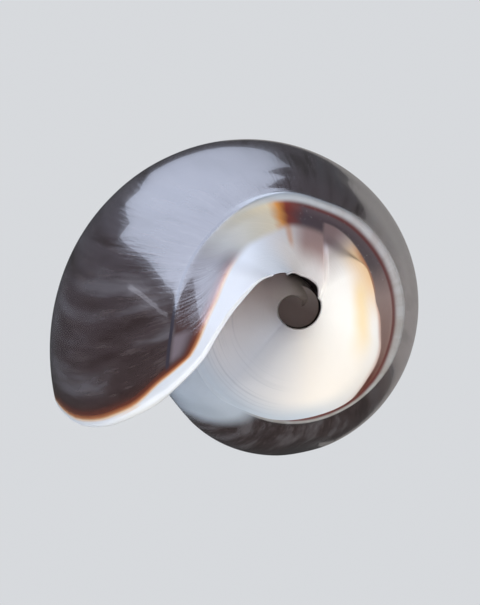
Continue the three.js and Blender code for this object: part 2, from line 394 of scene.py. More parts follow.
    def inside(self, line: Array, turn: Array, thin: Array | float = 1.0) -> Array:
        """Radius, reach and drift of the inside of the last turn's wall, which comes down onto the pillar.

        Args:
            line: mesh line numbers.
            turn: turns behind the lip, of the same shape.
            thin: share of the full wall that is left, for the notch's thin edge.

        Returns:
            Array with a last axis of radius, reach along the axis and share of the front's drift.
        """
        scale = np.maximum(self.least_wall, self.scale(turn)) * thin
        base = np.minimum(line, self.neck_line)
        wall = self.lip_wall + (self.front_wall - self.lip_wall) * ease(base, *self.wall_stations)
        flesh = self.skin(base, turn, wall * scale)
        pillar = self.pillar_radius + self.pillar_flare * (self.neck_line + self.pillar_lead - base)
        pillar = np.minimum(pillar, self.skin(base, turn)[..., 0] - self.pillar_cover)
        flesh[..., 0] = np.maximum(flesh[..., 0], pillar)
        top = self.skin(np.full_like(line, self.tip), turn)
        top[..., 0] = self.pillar_radius
        top[..., 1] -= self.pillar_neck * scale
        late = self.pillar_from + self.pillar_delay * (1 - thin)
        onto = ease((line - late) / (self.tip - late), 0, 1)[..., None]
        return flesh + (top - flesh) * onto

    def sunk(self, rim: Array, turn: Array, sink: Array, shrink: Array | float) -> Array:
        """Points under a rim, down along the front end's own axis.

        Args:
            rim: radius, reach and share of the front's drift.
            turn: turns behind the lip.
            sink: distance below the rim, one per point.
            shrink: share of the rim's radius that is kept.

        Returns:
            Array with a last axis of x, y and z.
        """
        axis = self.place(rim * [0, 1, 1], turn)
        down = np.array([-self.front_lean[0], 1.0, -self.front_lean[1]])
        spread = (self.place(rim, turn) - axis) * np.reshape(shrink, (-1, 1))
        return axis + spread + np.reshape(sink, (-1, 1)) * down

    def place(self, half: Array, turn: Array) -> Array:
        """Points in the coil's own frame, in millimetres: front end towards -Y.

        Args:
            half: radius, reach and share of the front's drift.
            turn: turns behind the lip.

        Returns:
            Array with a last axis of x, y and z.
        """
        angle = math.radians(self.lip_angle) - 2 * math.pi * turn
        radius, reach, share = half[..., 0], half[..., 1], half[..., 2]
        over = reach - self.front_level
        across, up = (share * (s + lean * over) for s, lean in zip(self.front_shift, self.front_lean))
        return np.stack([radius * np.cos(angle) + across, -reach, radius * np.sin(angle) + up], -1)


def turned(degrees: float, axis: str) -> Matrix:
    """Rotation about an axis."""
    return Matrix.Rotation(math.radians(degrees), 4, axis)


@dataclass(frozen=True)
class RestPose:
    """How the coil lies on the surface: turned onto its lip edge and body, then moved."""

    roll: float = 9.183
    pitch: float = 7.15
    shift: Spot = (1.918, 15.4297, 6.7921)

    def matrix(self) -> Matrix:
        """From the coil's frame in millimetres to the part's frame in metres."""
        turn = turned(self.pitch, "X") @ turned(self.roll, "Y")
        return Matrix.Scale(MM, 4) @ Matrix.Translation(Vector(self.shift)) @ turn


def fold_grid(name: str, points: Array, maps: dict[CoilMap, Array]) -> Thing:
    """A grid of faces bent so that its vertices lie at the given points.

    Args:
        name: name of the new object.
        points: rows by columns by 3, in metres.
        maps: values of each UV map, rows by columns by 2.

    Returns:
        The new object, welded and with its faces outwards.
    """
    rows, columns = points.shape[:2]
    bm = bmesh.new()
    bmesh.ops.create_grid(bm, x_segments=rows - 1, y_segments=columns - 1, size=1.0)
    flat = np.array([v.co[:2] for v in bm.verts])
    i = np.rint((flat[:, 0] + 1) / 2 * (rows - 1)).astype(int)
    j = np.rint((flat[:, 1] + 1) / 2 * (columns - 1)).astype(int)
    mesh = bpy.data.meshes.new(name)
    bm.to_mesh(mesh)
    bm.free()
    mesh.vertices.foreach_set("co", points[i, j].ravel())
    corner = np.zeros(len(mesh.loops), int)
    mesh.loops.foreach_get("vertex_index", corner)
    for key, values in maps.items():
        layer = mesh.uv_layers.new(name=key.value)
        layer.data.foreach_set("uv", values[i[corner], j[corner]].astype(np.float32).ravel())
    thing = bpy.data.objects.new(name, mesh)
    bpy.context.scene.collection.objects.link(thing)
    close_up(thing)
    return thing


def wrap_rows(rows: Array, steps: int = 3) -> Array:
    """Rows of a sheet with straight rows added that lead from its last row back to its first.

    Args:
        rows: rows by columns by any size.
        steps: rows added in between.

    Returns:
        The longer array, whose last row is its first again.
    """
    share = np.linspace(0, 1, steps + 2)[1:, None, None]
    return np.concatenate([rows, rows[-1] + (rows[0] - rows[-1]) * share])


def close_up(thing: Thing, weld: float = 3e-8) -> None:
    """Weld the seams of a bent grid and turn the faces outwards.

    Args:
        thing: object to mend.
        weld: distance in metres under which vertices are one.
    """
    bm = bmesh.new()
    bm.from_mesh(thing.data)
    bmesh.ops.remove_doubles(bm, verts=bm.verts[:], dist=weld)
    bmesh.ops.dissolve_degenerate(bm, dist=weld / 2, edges=bm.edges[:])
    bmesh.ops.recalc_face_normals(bm, faces=bm.faces[:])
    bm.to_mesh(thing.data)
    bm.free()


@dataclass
class LastTurn:
    """Wall of the last turn: outside, rounded edge of the mouth and inside, as one folded sheet."""

    coil: Coil
    pose: RestPose
    fine_end: float = 0.6
    fine_step: float = 0.003
    end: float = 0.975
    end_rows: int = 64
    rim_rows: int = 12
    root_radius: float = 0.33
    root_reach: float = 0.21
    probe: float = 0.004
    notch_thinning: float = 0.72
    notch_lines: Span = (5.2, 6.5)
    tip_thinning: float = 0.2
    tip_lines: Span = (7.3, 8.0)
    thin_reach: float = 0.14
    rim_bulge: float = 0.85
    rim_flattens: Span = (6.7, 7.8)
    rim_most: float = 0.05
    tuck: float = 0.05
    tuck_turns: Span = (0.94, 0.97)
    well_narrowing: float = 0.25
    narrow_depth: float = 0.16
    narrow_turns: Span = (0.21, 0.34)
    well_sinks: Floats = (0.02, 0.08, 0.25, 0.8, 2.2, 5.0)
    well_shares: Floats = (0.05, 0.15, 0.3, 0.5, 0.75, 0.95)

    def build(self) -> Thing:
        """Make the closed wall.

        Returns:
            The new object.
        """
        coil, line = self.coil, lines_of_the_coil()
        notch = self.notch_thinning * ease(line, *self.notch_lines)
        notch = notch + self.tip_thinning * ease(line, *self.tip_lines)
        round_end = self.rim_bulge * (1 - ease(line, *self.rim_flattens))
        begin = self.edge_turns(line, notch, round_end)
        bent = self.bend_rows(begin)
        LOG.info("last turn: %d rows by %d lines", *bent.shape)
        grid_line = np.broadcast_to(line, bent.shape)
        thin = 1 - notch * (1 - ease(bent - begin, 0, self.thin_reach))
        tuck = self.tuck * ease(bent, *self.tuck_turns)
        outer = coil.place(coil.skin(grid_line, bent, tuck), bent)
        inner = coil.place(coil.inside(grid_line, bent, thin), bent)
        rim = self.round_rim(outer, inner, round_end)
        times = np.concatenate([bent[::-1], np.broadcast_to(begin, rim.shape[:2]), bent])
        first = times[:, 0]
        reach = np.array([self.root_radius * coil.radius, self.root_reach * coil.length, 0.0])
        root = coil.place(reach * coil.scale(first)[:, None], first)
        wells = self.wells(bent[:, -1], thin[:, -1])
        sheet = np.concatenate([root[:, None], np.concatenate([outer[::-1], rim, inner]), *wells], axis=1)
        full_line = np.concatenate([[0.0], line, np.full(len(wells), coil.tip)])
        full_turn = np.concatenate([times[:, :1], times, times[:, -1:].repeat(len(wells), 1)], axis=1)
        rows = len(bent)
        rim_share = np.concatenate([np.zeros(rows), np.linspace(0, 1, self.rim_rows), np.ones(rows)])
        maps = coil_maps(coil, full_line, full_turn, rim_share[:, None] + 0 * full_turn)
        return fold_grid("last_turn", to_part(wrap_rows(sheet), self.pose), maps)

    def edge_turns(self, line: Array, notch: Array, round_end: Array) -> Array:
        """Turns at which the outside ends, so that the rounded rim just reaches the edge of the mouth.

        Args:
            line: mesh lines.
            notch: share of the wall that is lost at the edge.
            round_end: how far the rim bulges, as a share of half the wall.

        Returns:
            One turn per line.
        """
        coil, margin = self.coil, self.coil.margin(line)
        lip_out = coil.place(coil.skin(line, margin), margin)
        lip_in = coil.place(coil.inside(line, margin, 1 - notch), margin)
        ahead = lip_out - coil.place(coil.skin(line, margin + self.probe), margin + self.probe)
        half, step = np.linalg.norm(lip_out - lip_in, axis=-1) / 2, np.linalg.norm(ahead, axis=-1)
        return margin + np.minimum(round_end * half / step * self.probe, self.rim_most)

    def bend_rows(self, begin: Array) -> Array:
        """Turn at every row and line: the rows start along the edge of the mouth and straighten.

        Args:
            begin: turn at which each line starts.

        Returns:
            Turns, rows by lines.
        """
        fine = np.arange(0, self.fine_end, self.fine_step)
        turn = np.concatenate([fine, np.linspace(self.fine_end, self.end, self.end_rows)])[:, None]
        return np.where(turn < self.fine_end, begin + turn * (1 - begin / self.fine_end), turn)

    def round_rim(self, outer: Array, inner: Array, round_end: Array) -> Array:
        """Rows of the rounded rim, from the outside over to the inside.

        Args:
            outer: points of the outside, from the rim on.
            inner: points of the inside, from the rim on.
            round_end: how far the rim bulges, as a share of half the wall.

        Returns:
            Rows by lines by 3.
        """
        theta = np.linspace(0, math.pi, self.rim_rows + 2)[1:-1][:, None, None]
        middle, spoke = (outer[0] + inner[0]) / 2, (outer[0] - inner[0]) / 2
        forward = outer[0] - outer[1]
        forward -= spoke * np.sum(forward * spoke, -1, keepdims=True) / np.sum(spoke**2, -1, keepdims=True)
        forward /= np.linalg.norm(forward, axis=-1, keepdims=True)
        bulge = round_end[:, None] * np.linalg.norm(spoke, axis=-1, keepdims=True)
        return middle + spoke * np.cos(theta) + forward * bulge * np.sin(theta)

    def wells(self, turn: Array, thin: Array) -> list[Array]:
        """Columns of points that lead from the tip down into the pillar.

        Args:
            turn: turn of each row at the tip.
            thin: share of the wall that is left there.

        Returns:
            One array for each column, all rows by 1 by 3.
        """
        coil, tip = self.coil, np.full(len(turn), self.coil.tip)
        edge_out, edge_in = coil.skin(tip, turn), coil.inside(tip, turn, thin)
        drop_out, drop_in = (edge[:, 1] - coil.pillar_foot for edge in (edge_out, edge_in))
        foot = coil.sunk(edge_out, turn, drop_out, (edge_out[:, 0] + coil.pillar_radius) / 2 / edge_out[:, 0])
        pairs = []
        for sink, share in zip(self.well_sinks, self.well_shares):
            narrow = self.well_narrowing * min(sink, self.narrow_depth) * ease(turn, *self.narrow_turns)
            outside = coil.sunk(edge_out, turn, np.full(len(turn), sink), 1 - narrow)
            pairs.append((outside, coil.sunk(edge_in, turn, drop_in * share, 1.0)))
        pairs.append((foot, foot))
        over = np.linspace(0, 1, self.rim_rows + 2)[1:-1][:, None]
        return [np.concatenate([a[::-1], a[0] + (b[0] - a[0]) * over, b])[:, None] for a, b in pairs]


@dataclass
class EarlierTurn:
    """One filled turn of the coil behind the last one, closed on the axis."""

    coil: Coil
    pose: RestPose
    start: float
    rows: int
    skip: int
    floor: float
    blend: float = 0.035
    blend_gap: float = 0.005
    tuck: float = 0.1
    well_steps: tuple[Span, ...] = (
        (0.02, 0.99),
        (0.08, 0.97),
        (0.25, 0.95),
        (0.8, 0.94),
        (2.2, 0.94),
        (30.0, 0.94),
    )

    def build(self) -> Thing:
        """Make the closed turn.

        Returns:
            The new object.
        """
        coil, end = self.coil, self.start + 1
        line = lines_of_the_coil()[:: self.skip]
        turn = np.linspace(self.start, end, self.rows + 1)
        grid_turn = np.broadcast_to(turn[:, None], (len(turn), len(line)))
        grid_line = np.broadcast_to(line, grid_turn.shape)
        sink = 1 - ease(grid_turn, self.start + self.blend_gap, self.start + self.blend)
        sink = sink + ease(grid_turn, end - self.blend, end - self.blend_gap)
        depth = self.tuck * sink * coil.scale(grid_turn)
        points = coil.place(coil.skin(grid_line, grid_turn, depth), grid_turn)
        rim = coil.skin(np.full(len(turn), coil.tip), turn)
        wells = []
        for drop, shrink in self.well_steps:
            wells.append(coil.sunk(rim, turn, np.minimum(drop, rim[:, 1] - self.floor), shrink)[:, None])
        wells.append(np.broadcast_to(wells[-1].mean(axis=0, keepdims=True), wells[-1].shape))
        foot = np.zeros((len(turn), 1, 3))
        foot[..., 1] = -coil.section[0][1] * coil.length * coil.scale(end)
        points = np.concatenate([foot, points, *wells], axis=1)
        full_line = np.concatenate([[0.0], line, np.full(len(wells), coil.tip)])
        full_turn = np.broadcast_to(turn[:, None], points.shape[:2])
        maps = coil_maps(coil, full_line, full_turn, np.zeros(full_turn.shape))
        return fold_grid("earlier_turn", to_part(wrap_rows(points), self.pose), maps)


@dataclass
class HollowFloor:
    """Bottom of the hollow in the columella: a plug where the windings meet, painted dark as shade in the
    hollow and paler on its lit side as painted light.
    """

    coil: Coil
    pose: RestPose
    width: float = 1.08
    taper: float = 0.9
    depth: float = 4.5
    sides: int = 64
    shade_turn: float = 1.57
    lit_side: Spot = (0.6, 0.0, 0.8)
    lit_turn: float = 0.05

    def build(self) -> Thing:
        """Make the plug and set it on the front end's axis.

        Returns:
            The new object.
        """
        coil, narrow = self.coil, self.width * self.taper
        bm = bmesh.new()
        bmesh.ops.create_cone(
            bm, cap_ends=True, segments=self.sides, radius1=self.width, radius2=narrow, depth=self.depth
        )
        mesh = bpy.data.meshes.new("hollow_floor")
        bm.to_mesh(mesh)
        bm.free()
        levels = (coil.hollow_floor, coil.hollow_floor - self.depth)
        ends = [coil.place(np.array([0.0, level, 1.0]), np.array(0.0)) for level in levels]
        top, foot = (Vector(to_part(end, self.pose)) for end in ends)
        turn = (top - foot).to_track_quat("Z", "Y").to_matrix().to_4x4()
        mesh.transform(Matrix.Translation((top + foot) / 2) @ turn @ Matrix.Scale(MM, 4))
        lit = Vector(self.lit_side) * (self.lit_turn / (self.width * MM))
        corners = [mesh.vertices[loop.vertex_index].co for loop in mesh.loops]
        # The plug's turns reach the dark end of the callus colours, painted shade, and fall towards the paler
        # ones on the lit side, painted light.
        turns = [self.shade_turn - (corner - top).dot(lit) for corner in corners]
        places = {
            CoilMap.COIL: (turns, 1.0),
            CoilMap.EDGE: (coil.fringe_range[0], 0.0),
            CoilMap.FRONT: (1.2, 0.7),
            CoilMap.RIND: (1.5, 1.0),
        }
        for key, values in places.items():
            layer = mesh.uv_layers.new(name=key.value)
            pairs = np.stack([np.broadcast_to(value, len(corners)) for value in values], -1)
            layer.data.foreach_set("uv", pairs.astype(np.float32).ravel())
        thing = bpy.data.objects.new("hollow_floor", mesh)
        bpy.context.scene.collection.objects.link(thing)
        return thing


def lines_of_the_coil() -> Array:
    """Mesh lines from suture to front tip, close together at the ridge, the callus edge and the tip.

    Returns:
        Rising line numbers.
    """
    return np.concatenate(
        [
            np.arange(0, 4, 0.16),
            np.arange(4, 5.7, 0.12),
            np.arange(5.7, 6.4, 0.04),
            np.arange(6.4, 6.6, 0.02),
            np.arange(6.6, 7.4, 0.05),
            np.arange(7.4, 7.76, 0.04),
            np.linspace(7.76, 8.0, 17),
        ]
    )


def coil_maps(coil: Coil, line: Array, turn: Array, rim: Array) -> dict[CoilMap, Array]:
    """Values of the UV maps for a sheet that wrap_rows closes.

    Args:
        coil: form of the shell.
        line: mesh line of each column.
        turn: turns behind the lip, rows by columns.
        rim: 0 outside, 1 inside, between on the edge, rows by columns.

    Returns:
        Values of each map, rows by columns by 2.
    """
    line = np.broadcast_to(line, turn.shape)
    station = coil.station(line, turn)
    grown = turn - coil.margin(line)
    lip = coil.white_lip + coil.white_lip_gain * ease(line, *coil.white_lip_lines) - grown
    lip = lip / coil.fringe_step + coil.rim_steps * ease(rim, *coil.rim_whitens)
    front = (station - smooth_through(turn, coil.white_turns, coil.white_stations)) / coil.white_step
    fold = turn - smooth_through(station, coil.fold_stations, coil.fold_turns)
    rind = line - smooth_through(turn, coil.rind_turns, coil.rind_lines)
    pairs = {
        CoilMap.COIL: (turn, line / coil.tip),
        CoilMap.EDGE: (np.clip(np.maximum(lip, front), *coil.fringe_range), rim),
        CoilMap.FRONT: (fold, turn - coil.inner_lip(station)),
        CoilMap.RIND: (rind, grown),
    }
    return {key: wrap_rows(np.stack(pair, -1)) for key, pair in pairs.items()}


def to_part(points: Array, pose: RestPose) -> Array:
    """Points of the coil's frame in the part's frame, in metres."""
    matrix = np.array(pose.matrix())
    return points @ matrix[:3, :3].T + matrix[:3, 3]


def join_solids(first: Thing, others: list[Thing]) -> Thing:
    """Join closed solids into one.

    Args:
        first: solid that is kept.
        others: solids that are taken into it and removed.

    Returns:
        The first object with the joined mesh.
    """
    for other in others:
        union = first.modifiers.new("union", "BOOLEAN")
        union.operation, union.solver, union.object = "UNION", "MANIFOLD", other
    graph = bpy.context.evaluated_depsgraph_get()
    mesh = bpy.data.meshes.new_from_object(first.evaluated_get(graph))
    first.modifiers.clear()
    first.data = mesh
    for other in others:
        bpy.data.objects.remove(other)
    return first


def drop_crumbs(bm: bmesh.types.BMesh) -> None:
    """Keep the largest connected body, without the small bubbles that a join can leave.

    Args:
        bm: mesh to clean.
    """
    left = set(bm.verts)
    bodies = []
    while left:
        body, edge = set(), [left.pop()]
        while edge:
            vert = edge.pop()
            body.add(vert)
            near = {e.other_vert(vert) for e in vert.link_edges} & left
            left -= near
            edge.extend(near)
        bodies.append(body)
    main_body = max(bodies, key=len)
    crumbs = [vert for body in bodies if body is not main_body for vert in body]
    bmesh.ops.delete(bm, geom=crumbs, context="VERTS")


@dataclass(frozen=True)
class PhotoCamera:
    """Camera at the photograph's viewing angle: almost straight onto the front end."""

    tilt: float = -4.2
    swing: float = 7.6
    distance: float = 260.0
    pixels_per_mm: float = 20.355
    aim: Span = (0.187, 2.294)
    picture_height: int = 605

    def build(self, pose: RestPose) -> Thing:
        """Set up the scene's camera.

        Args:
            pose: how the coil lies.

        Returns:
            The camera object.
        """
        view = turned(self.tilt, "X") @ turned(self.swing, "Y")
        upright = turned(90, "X")
        turn = pose.matrix().to_3x3().normalized().to_4x4()
        pole = pose.matrix().translation
        frame = turn @ upright @ view.inverted()
        place = Matrix.Translation(pole) @ frame @ Matrix.Translation((0, 0, self.distance * MM))
        right, up = (math.atan(x / self.distance) for x in self.aim)
        lens = bpy.data.cameras.new("photo_camera")
        lens.sensor_fit = "VERTICAL"
        lens.sensor_height = 36.0
        lens.lens = self.pixels_per_mm * self.distance / self.picture_height * lens.sensor_height
        lens.clip_start = 0.01
        camera = bpy.data.objects.new("photo_camera", lens)
        camera.matrix_world = place @ Matrix.Rotation(-right, 4, "Y") @ Matrix.Rotation(up, 4, "X")
        bpy.context.scene.collection.objects.link(camera)
        bpy.context.scene.camera = camera
        return camera


@dataclass(frozen=True)
class SoftLight:
    """A rectangular studio light."""

    name: str
    place: Spot
    size: Span
    watts: float
    tint: Spot
    aim: Spot = (0.0, -0.004, 0.006)
    spin: float = 0.0
    far_end: float = 1.0

    @classmethod
    def ceiling(
        cls,
        name: str,
        spot: Span,
        size: Span,
        watts: float,
        tint: Spot = (0.72, 0.8, 1.0),
        far_end: float = 1.0,
    ) -> "SoftLight":
        """A light under the ceiling that faces straight down.

        Args:
            name: what it is called.
            spot: where it hangs, seen from above.
            size: its two sides.
            watts: its power.
            tint: its colour.
            far_end: share of the light that is left at its far end.

        Returns:
            The light, not yet hung.
        """
        return cls(name, (*spot, CEILING), size, watts, tint, (*spot, 0.0), CEILING_SPIN, far_end)

    def build(self) -> Thing:
        """Hang the light and turn it to what it is aimed at.

        Returns:
            The light's object.
        """
        lamp = bpy.data.lights.new(self.name, "AREA")
        lamp.shape = "RECTANGLE"
        lamp.size, lamp.size_y = self.size
        lamp.energy = self.watts
        lamp.color = self.tint
        thing = bpy.data.objects.new(self.name, lamp)
        thing.location = self.place
        facing = (Vector(self.aim) - Vector(self.place)).to_track_quat("-Z", "Y").to_matrix()
        thing.rotation_euler = (facing @ Matrix.Rotation(math.radians(self.spin), 3, "Z")).to_euler()
        if self.far_end < 1:
            self.fade(lamp)
        bpy.context.scene.collection.objects.link(thing)
        return thing

    def fade(self, lamp: bpy.types.Light) -> None:
        """Let the light fall off evenly towards one end.

        Args:
            lamp: the light's data.
        """
        lamp.use_nodes = True
        tree = lamp.node_tree
        bench = NodeBench(tree)
        along = bench.add("SeparateXYZ", bench.add("NewGeometry").outputs["Parametric"]).outputs[0]
        glow = next(n for n in tree.nodes if n.type == "EMISSION")
        bench.feed(glow.inputs["Strength"], bench.math("POWER", self.far_end, along))


@dataclass
class Studio:
    """Pale floor that shows from above, soft light and the camera."""

    floor_size: float = 1.2
    floor_tone: Spot = (0.78, 0.78, 0.77)
    air_tone: Spot = (0.8, 0.82, 0.85)
    air_strength: float = 0.06
    backdrop_strength: float = 0.85
    lights: tuple[SoftLight, ...] = (
        SoftLight.ceiling("overhead", (-0.0703, 0.0581), (0.2244, 0.2112), 1.21, far_end=0.267),
        SoftLight.ceiling("overhead_mid", (0.0028, 0.194), (0.0836, 0.18), 0.103, far_end=0.61),
        SoftLight.ceiling("overhead_far", (0.0359, 0.276), (0.0924, 0.13), 0.05, far_end=0.58),
        SoftLight.ceiling("sill", (-0.239, 0.1255), (0.099, 0.0154), 0.012, (0.84, 0.86, 1.0)),
        SoftLight("front_low", (0.063, -0.183, -0.158), (0.14, 0.14), 0.44, (1.0, 0.97, 0.93)),
        SoftLight("front_left", (-0.174, -0.123, -0.148), (0.14, 0.14), 0.25, (0.9, 0.95, 1.0)),
        SoftLight("front_high", (-0.073, -0.288, -0.01), (0.3, 0.3), 0.48, (0.97, 0.98, 1.0)),
        SoftLight("side_panel", (0.2, 0.34, 0.06), (0.3, 0.2), 0.05, (1.0, 0.95, 0.92)),
    )

    def build(self, pose: RestPose) -> None:
        """Lay the floor, hang the lights and set the camera.

        Args:
            pose: how the coil lies.
        """
        self.lay_floor()
        self.fill_air()
        for light in self.lights:
            light.build()
        PhotoCamera().build(pose)

    def lay_floor(self) -> None:
        """A plane whose underside lets the view through, and which the shell doesn't mirror."""
        bm = bmesh.new()
        bmesh.ops.create_grid(bm, x_segments=2, y_segments=2, size=self.floor_size / 2)
        mesh = bpy.data.meshes.new("floor")
        bm.to_mesh(mesh)
        bm.free()
        floor = bpy.data.objects.new("floor", mesh)
        bpy.context.scene.collection.objects.link(floor)
        finish = bpy.data.materials.new("floor_paper")
        bench = NodeBench.clear(finish)
        paper = bench.add("BsdfDiffuse", (*self.floor_tone, 1))
        clear = bench.add("BsdfTransparent")
        ray = bench.add("LightPath")
        open_to = bench.add("NewGeometry").outputs["Backfacing"]
        for kind in ("Is Shadow Ray", "Is Glossy Ray"):
            open_to = bench.math("MAXIMUM", open_to, ray.outputs[kind])
        blend = bench.add("MixShader", open_to, paper.outputs[0], clear.outputs[0])
        bench.add("OutputMaterial", blend.outputs[0])
        mesh.materials.append(finish)

    def fill_air(self) -> None:
        """Dim even light all round, and a pale backdrop behind the shell."""
        world = bpy.data.worlds.new("studio_air")
        bench = NodeBench.clear(world)
        strengths = (self.air_strength, self.backdrop_strength)
        dim, pale = (bench.add("Background", (*self.air_tone, 1), strength) for strength in strengths)
        seen = bench.add("LightPath").outputs["Is Camera Ray"]
        blend = bench.add("MixShader", seen, dim.outputs[0], pale.outputs[0])
        bench.add("OutputWorld", blend.outputs[0])
        bpy.context.scene.world = world


def tone(red: int, green: int, blue: int) -> Floats:
    """Linear colour of a tone given as 0 to 255 on a screen."""
    shares = (c / 255 for c in (red, green, blue))
    return (*(c / 12.92 if c <= 0.04045 else ((c + 0.055) / 1.055) ** 2.4 for c in shares), 1.0)


class NodeBench:
    """Short ways to lay shader nodes."""

    def __init__(self, tree: bpy.types.NodeTree) -> None:
        """Take a node tree."""
        self.tree = tree

    @classmethod
    def clear(cls, owner: bpy.types.Material | bpy.types.World) -> "NodeBench":
        """Take the emptied node tree of a material or world.

        Args:
            owner: material or world.

        Returns:
            A bench on its tree.
        """
        owner.use_nodes = True
        owner.node_tree.nodes.clear()
        return cls(owner.node_tree)

    def add(self, kind: str, *inputs: object, **settings: object) -> bpy.types.Node:
        """Add a node, set its options and feed its inputs in order.

        Args:
            kind: node type without its prefix.
            inputs: sockets, numbers or colours; None leaves an input alone.
            settings: node options.

        Returns:
            The new node.
        """
        node = self.tree.nodes.new(f"ShaderNode{kind}")
        for key, value in settings.items():
            setattr(node, key, value)
        for socket, value in zip([i for i in node.inputs if i.enabled], inputs):
            self.feed(socket, value)
        return node

    def feed(self, socket: Socket, value: object) -> None:
        """Link a socket to an input, or set it to a constant.

        Args:
            socket: the input.
            value: socket, number or colour; None leaves the input alone.
        """
        if isinstance(value, Socket):
            self.tree.links.new(value, socket)
        elif value is not None:
            socket.default_value = value

    def math(self, way: str, *inputs: object) -> Socket:
        """A sum, product or other operation."""
        return self.add("Math", *inputs, operation=way).outputs[0]

    def step(self, value: object, low: float, high: float) -> Socket:
        """Smooth step from 0 at low to 1 at high, or back where low is the larger.

        Args:
            value: what the step follows.
            low: where it is 0.
            high: where it is 1.

        Returns:
            The mask.
        """
        if low > high:
            return self.math("SUBTRACT", 1.0, self.step(value, high, low))
        return self.add("MapRange", value, low, high, 0.0, 1.0, interpolation_type="SMOOTHSTEP").outputs[0]

    def span(self, value: object, rise: Span, fall: Span) -> Socket:
        """Mask that rises to 1 over one stretch of a value and falls to 0 over a later one."""
        return self.both(self.step(value, *rise), self.step(value, fall[1], fall[0]))

    def away(self, value: object, middle: float) -> Socket:
        """Distance of a value from a middle."""
        return self.math("ABSOLUTE", self.math("SUBTRACT", value, middle))

    def both(self, *masks: object) -> Socket:
        """Product of masks.

        Args:
            masks: sockets or numbers.

        Returns:
            The joint mask.
        """
        result = masks[0]
        for mask in masks[1:]:
            result = self.math("MULTIPLY", result, mask)
        return result

    def blend(self, share: object, under: object, over: object) -> Socket:
        """Lay one colour over another.

        Args:
            share: how much of the upper colour shows.
            under: lower colour.
            over: upper colour.

        Returns:
            The blended colour.
        """
        node = self.add("Mix", data_type="RGBA")
        self.feed(node.inputs[0], share)
        self.feed(node.inputs[6], under)
        self.feed(node.inputs[7], over)
        return node.outputs[2]

    def coat(self, under: object, parts: tuple[int, int, int], *masks: object) -> Socket:
        """Lay a screen tone over a colour where all the masks hold."""
        return self.blend(self.both(*masks), under, tone(*parts))

    def run(self, value: object, *stops: Floats) -> Socket:
        """Colour that changes along a value.

        Args:
            value: what the colour follows.
            stops: each a value and the three parts of its tone, rising.

        Returns:
            The colour.
        """
        low, high = stops[0][0], stops[-1][0]
        node = self.add("ValToRGB", self.add("MapRange", value, low, high, 0.0, 1.0).outputs[0])
        ramp = node.color_ramp
        while len(ramp.elements) < len(stops):
            ramp.elements.new(0.5)
        for element, (place, *_) in zip(ramp.elements, stops):
            element.position = (place - low) / (high - low)
        for element, (_, *parts) in zip(ramp.elements, stops):
            element.color = tone(*parts)
        return node.outputs[0]

    def grain(
        self,
        across: object,
        along: object,
        stretch: Span,
        detail: float = 3.0,
        rough: float = 0.55,
    ) -> Socket:
        """Noise over two directions of the coil.

        Args:
            across: place in the first direction.
            along: place in the second.
            stretch: how many grains go to one unit of each.
            detail: octaves of the noise.
            rough: strength of the fine octaves.

        Returns:
            The noise, about 0.5 in the middle.
        """
        sides = [self.math("MULTIPLY", side, many) for side, many in zip((across, along), stretch)]
        node = self.add("TexNoise", self.add("CombineXYZ", *sides, 0.0).outputs[0], noise_dimensions="2D")
        for key, value in (("Scale", 1.0), ("Detail", detail), ("Roughness", rough)):
            node.inputs[key].default_value = value
        return node.outputs[0]


